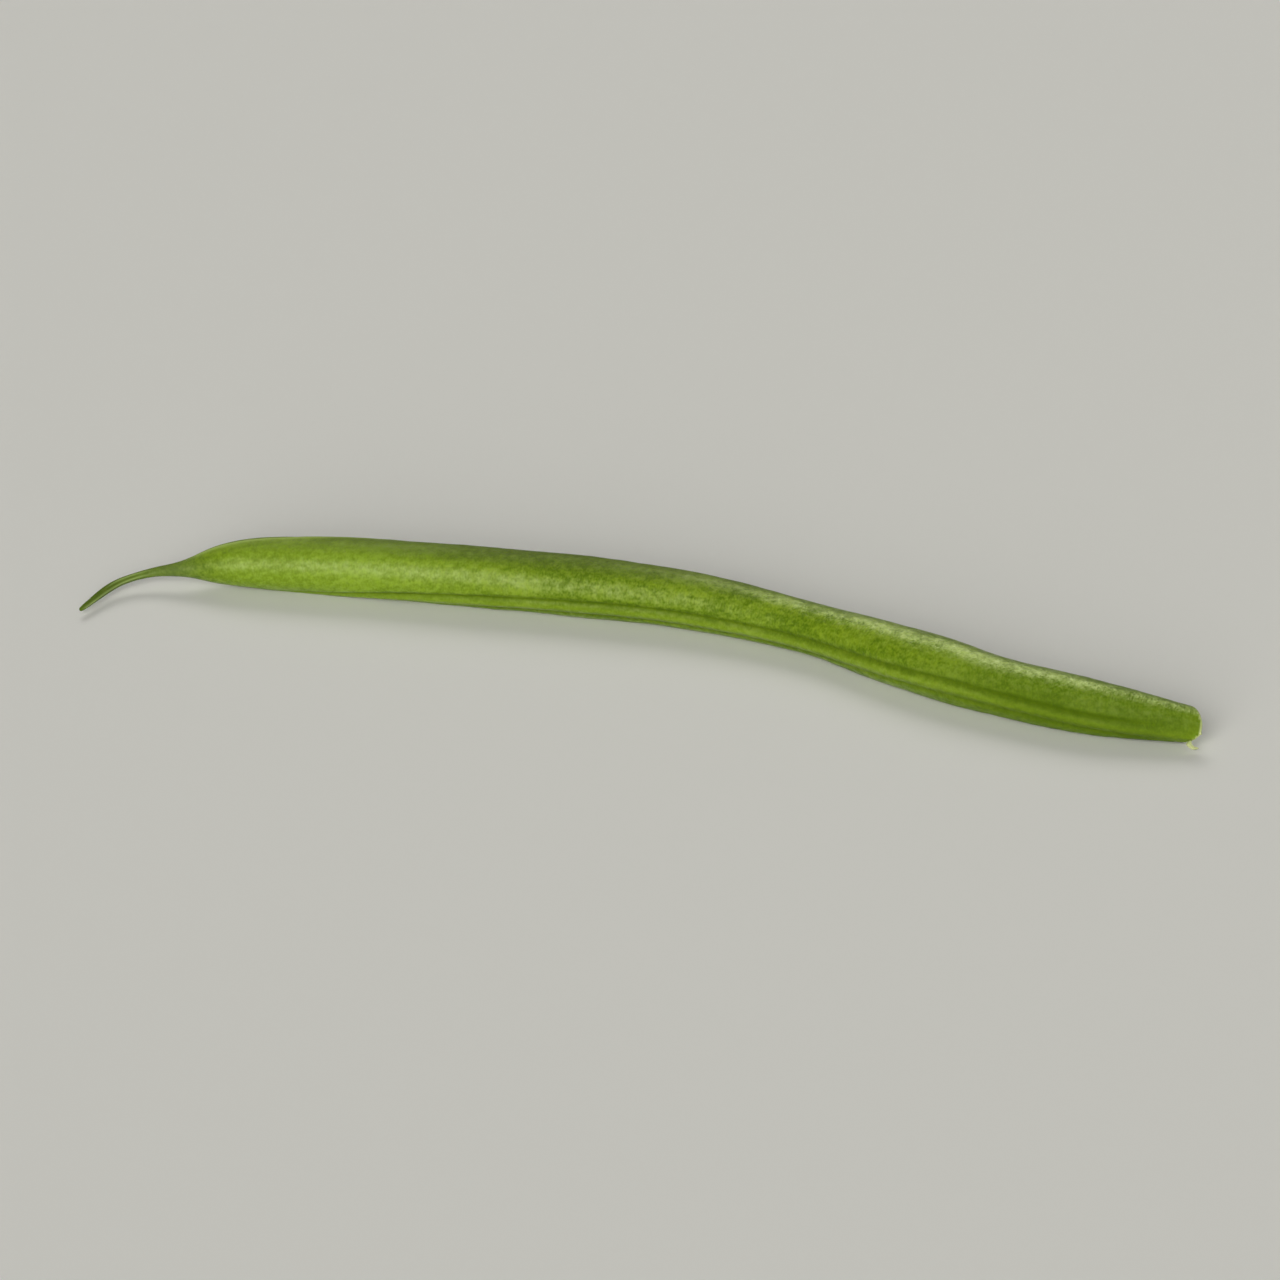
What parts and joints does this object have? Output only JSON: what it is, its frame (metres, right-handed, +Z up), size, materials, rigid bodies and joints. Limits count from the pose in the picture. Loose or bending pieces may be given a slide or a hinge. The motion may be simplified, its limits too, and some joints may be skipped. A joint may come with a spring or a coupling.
{
  "type": "green bean",
  "caption": "Whole fresh green bean pod lying on its side: a slim, gently bent round pod with a curved tail at one end and a slanted cut at the other.",
  "frame": {"origin": "middle of the pod's footprint, on the surface it lies on", "axes": "+X along the pod from the tail to the cut end, +Y towards the side it bows to, +Z up from the surface"},
  "size_m": [0.1334, 0.0236, 0.0072],
  "materials": {
    "skin": "satin"
  },
  "bodies": {
    "root": {"pod": "skin"}
  },
  "joints": []
}
